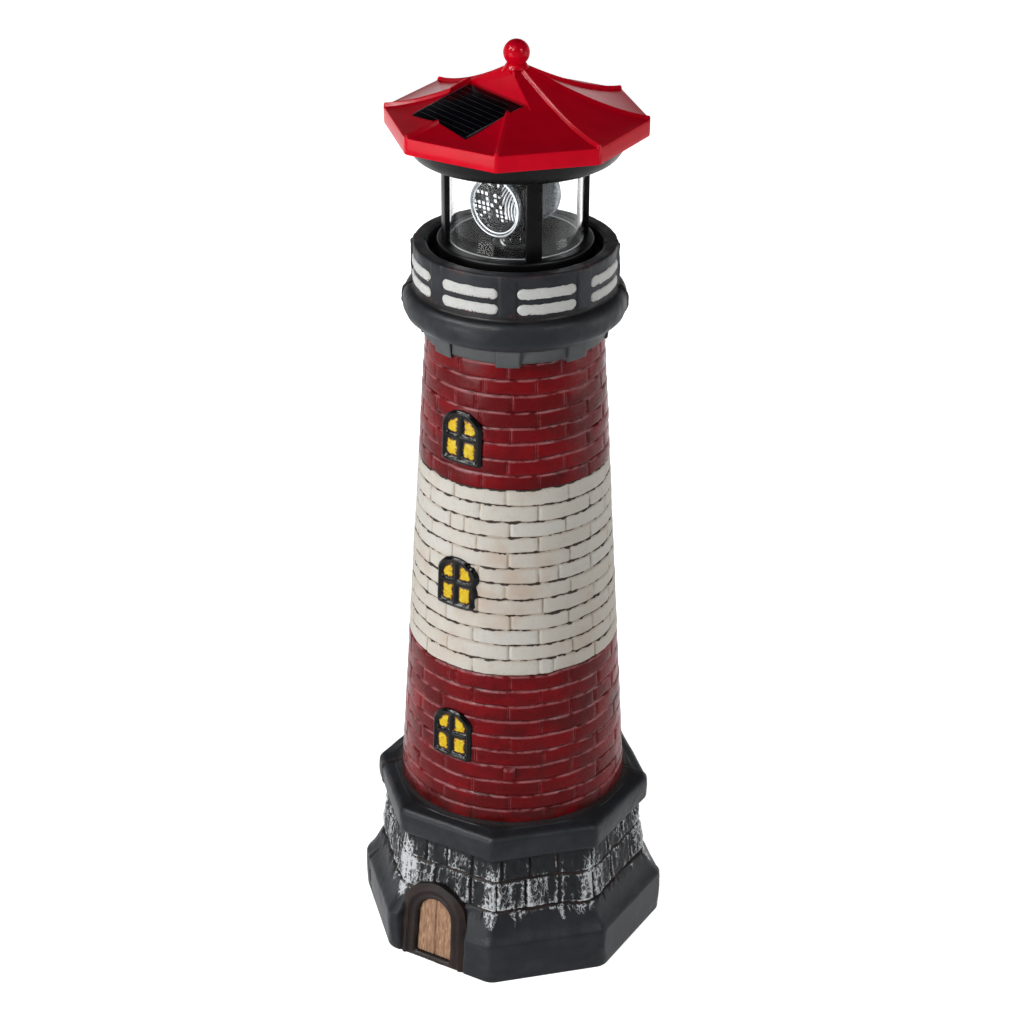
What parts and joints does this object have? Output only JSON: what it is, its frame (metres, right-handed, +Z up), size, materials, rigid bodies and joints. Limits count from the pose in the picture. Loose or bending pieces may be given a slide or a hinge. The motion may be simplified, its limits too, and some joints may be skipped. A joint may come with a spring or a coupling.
{
  "type": "garden_lighthouse_ornament",
  "caption": "Painted brick-look garden lighthouse on an octagonal plinth, with a lift-out solar lamp head whose double reflector beam turns in a clear lantern",
  "frame": {"origin": "centre of the foot's underside", "axes": "+Z up, the door and the windows face -Y, +X to the right of the door"},
  "size_m": [0.2058, 0.2058, 0.6613],
  "materials": {
    "cast": "hand painted, satin",
    "red": "gloss",
    "black": "gloss",
    "matt": "moulded",
    "cell": "clear coat over dark cell",
    "clear": "clear",
    "silver": "vacuum silvered",
    "led": "clear dome",
    "steel": "bright",
    "brass": "bright",
    "pale": "moulded",
    "laminate": "varnished",
    "battery": "sleeved",
    "lead": "insulated"
  },
  "bodies": {
    "tower": {"tower_shell": "cast"},
    "head": {"roof_shell": "red", "finial_ball": "red", "solar_board": "black", "solar_cell": "cell", "under_dish": "black", "post_front_right": "black", "post_back_right": "black", "post_back_left": "black", "post_front_left": "black", "glass_tube": "clear", "base_plate": "black", "mechanism_housing": "matt", "gearbox_plate": "matt", "gear_pins": "steel", "motor_can": "steel", "circuit_board": "laminate", "battery_inner": "battery", "battery_outer": "battery", "battery_contacts": "steel", "switch_body": "matt", "roof_screws": "steel", "housing_screws": "steel", "gearbox_screws": "steel", "panel_leads": "lead", "brush_contacts": "brass"},
    "beam": {"hub": "black", "crown_ring": "clear", "rotor_carrier": "black", "reflector_front": "silver", "reflector_rear": "silver", "lens_front": "clear", "lens_rear": "clear", "led_front": "led", "led_rear": "led", "output_shaft": "steel", "output_gear": "pale", "slip_rings": "brass"},
    "second_wheel": {"second_gear": "pale"},
    "first_wheel": {"first_gear": "pale"},
    "motor_rotor": {"motor_shaft": "steel", "motor_pinion": "brass"},
    "switch": {"switch_slider": "pale"},
    "battery_cover": {"battery_door": "matt", "door_screw": "steel"}
  },
  "joints": [
    {"name": "head_lift", "type": "slide", "parent": "tower", "child": "head", "axis": [0, 0, 1], "range_m": [0, 0.08]},
    {"name": "beam_turn", "type": "hinge", "parent": "head", "child": "beam", "pos_m": [0, 0, 0.54], "axis": [0, 0, 1], "continuous": true},
    {"name": "second_turn", "type": "hinge", "parent": "head", "child": "second_wheel", "pos_m": [0.0075, 0.01299, 0.503], "axis": [0, 0, 1], "continuous": true},
    {"name": "first_turn", "type": "hinge", "parent": "head", "child": "first_wheel", "pos_m": [-0.00333, 0.01924, 0.499], "axis": [0, 0, 1], "continuous": true},
    {"name": "motor_turn", "type": "hinge", "parent": "head", "child": "motor_rotor", "pos_m": [-0.00115, 0.03155, 0.497], "axis": [0, 0, 1], "continuous": true},
    {"name": "switch_slide", "type": "slide", "parent": "head", "child": "switch", "axis": [1, 0, 0], "range_m": [0, 0.004]},
    {"name": "battery_door_off", "type": "slide", "parent": "head", "child": "battery_cover", "axis": [0, 0, -1], "range_m": [0, 0.01]}
  ],
  "couplings": [
    {"joint": "second_turn", "follows": "beam_turn", "ratio": -5},
    {"joint": "first_turn", "follows": "beam_turn", "ratio": 20},
    {"joint": "motor_turn", "follows": "beam_turn", "ratio": -80}
  ]
}
